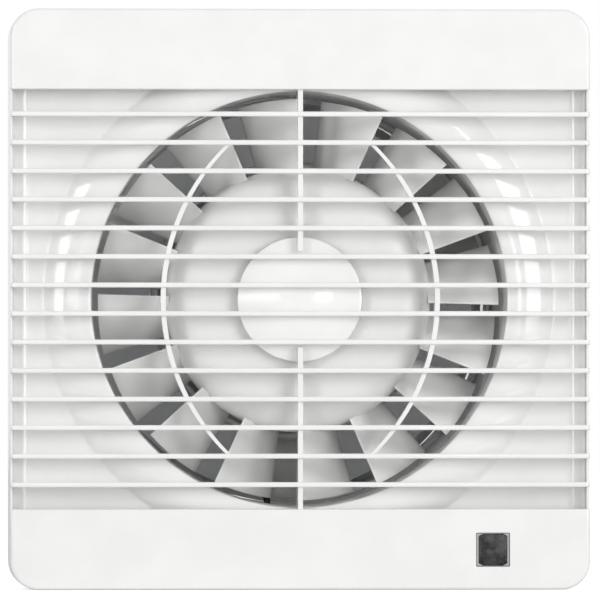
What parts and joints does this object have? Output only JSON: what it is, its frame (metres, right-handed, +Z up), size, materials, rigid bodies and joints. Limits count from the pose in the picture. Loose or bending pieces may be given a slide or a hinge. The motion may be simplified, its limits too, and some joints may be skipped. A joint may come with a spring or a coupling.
{
  "type": "exhaust fan",
  "caption": "Square white wall exhaust fan with a horizontal louvred grille, an axial impeller, a sensor window in the lower band and a round duct spigot closed by two back-draught flaps.",
  "frame": {"origin": "on the fan axis in the wall plane, which is the plane of the housing's back rim", "axes": "+X to the right as seen from the room, +Y along the fan axis from the room into the wall and duct, +Z up"},
  "size_m": [0.205, 0.13, 0.205],
  "materials": {
    "white_plastic": "white moulded ABS, semi-gloss",
    "shutter_plastic": "pale grey moulded plastic, satin",
    "grey_plastic": "light grey moulded frame",
    "smoky_lens": "smoky dark polyethylene, polished",
    "natural_nylon": "natural nylon, satin",
    "inner_cover_plastic": "white moulded ABS, satin",
    "circuit_board": "green solder mask on glass epoxy",
    "black_plastic": "black moulded plastic",
    "blue_plastic": "blue moulded plastic",
    "yellow_capacitor": "yellow epoxy-filled case",
    "zinc_plated_steel": "zinc plated",
    "cast_aluminium": "die cast",
    "lamination_steel": "stacked silicon steel sheets, oiled",
    "enamelled_copper": "copper with clear enamel",
    "sintered_bronze": "oil-filled sintered bronze",
    "brass": "plain brass",
    "tinned_can": "tinned steel can"
  },
  "bodies": {
    "base": {"housing": "white_plastic", "duct_spigot": "white_plastic", "motor_mount": "white_plastic", "shutter_frame": "white_plastic", "stator_core": "lamination_steel", "coil_bobbin": "natural_nylon", "coil_winding": "enamelled_copper", "shading_ring_upper": "enamelled_copper", "shading_ring_lower": "enamelled_copper", "front_bearing_bracket": "cast_aluminium", "rear_bearing_bracket": "cast_aluminium", "front_bearing": "sintered_bronze", "rear_bearing": "sintered_bronze", "motor_screw_left": "zinc_plated_steel", "motor_screw_right": "zinc_plated_steel", "control_board": "circuit_board", "pir_sensor": "tinned_can", "timer_trimmer": "blue_plastic", "terminal_block": "natural_nylon", "terminal_screw_1": "brass", "terminal_screw_2": "brass", "terminal_screw_3": "brass", "relay": "black_plastic", "capacitor": "yellow_capacitor", "electronics_cover": "inner_cover_plastic", "cover_screw_left": "zinc_plated_steel", "cover_screw_right": "zinc_plated_steel", "cable_clamp": "natural_nylon", "clamp_screw_lower": "zinc_plated_steel", "clamp_screw_upper": "zinc_plated_steel", "motor_lead": "black_plastic"},
    "impeller_assembly": {"impeller": "white_plastic", "impeller_nut": "brass", "motor_shaft": "zinc_plated_steel", "rotor_core": "lamination_steel"},
    "grille_assembly": {"front_grille": "white_plastic", "sensor_bezel": "grey_plastic", "sensor_lens": "smoky_lens"},
    "timer_adjuster": {"timer_knob": "natural_nylon"},
    "shutter_left": {"shutter_flap_left": "shutter_plastic"},
    "shutter_right": {"shutter_flap_right": "shutter_plastic"}
  },
  "joints": [
    {"name": "impeller_spin", "type": "hinge", "parent": "base", "child": "impeller_assembly", "pos_m": [0, 0, 0], "axis": [0, 1, 0], "continuous": true},
    {"name": "grille_pull_off", "type": "slide", "parent": "base", "child": "grille_assembly", "axis": [0, -1, 0], "range_m": [0, 0.03]},
    {"name": "timer_turn", "type": "hinge", "parent": "base", "child": "timer_adjuster", "pos_m": [0.05, -0.012, -0.08795], "axis": [0, 1, 0], "range_deg": [0, 270]},
    {"name": "shutter_left_swing", "type": "hinge", "parent": "base", "child": "shutter_left", "pos_m": [-0.002, 0.0942, 0], "axis": [0, 0, -1], "range_deg": [0, 75]},
    {"name": "shutter_right_swing", "type": "hinge", "parent": "base", "child": "shutter_right", "pos_m": [0.002, 0.0942, 0], "axis": [0, 0, 1], "range_deg": [0, 75]}
  ]
}
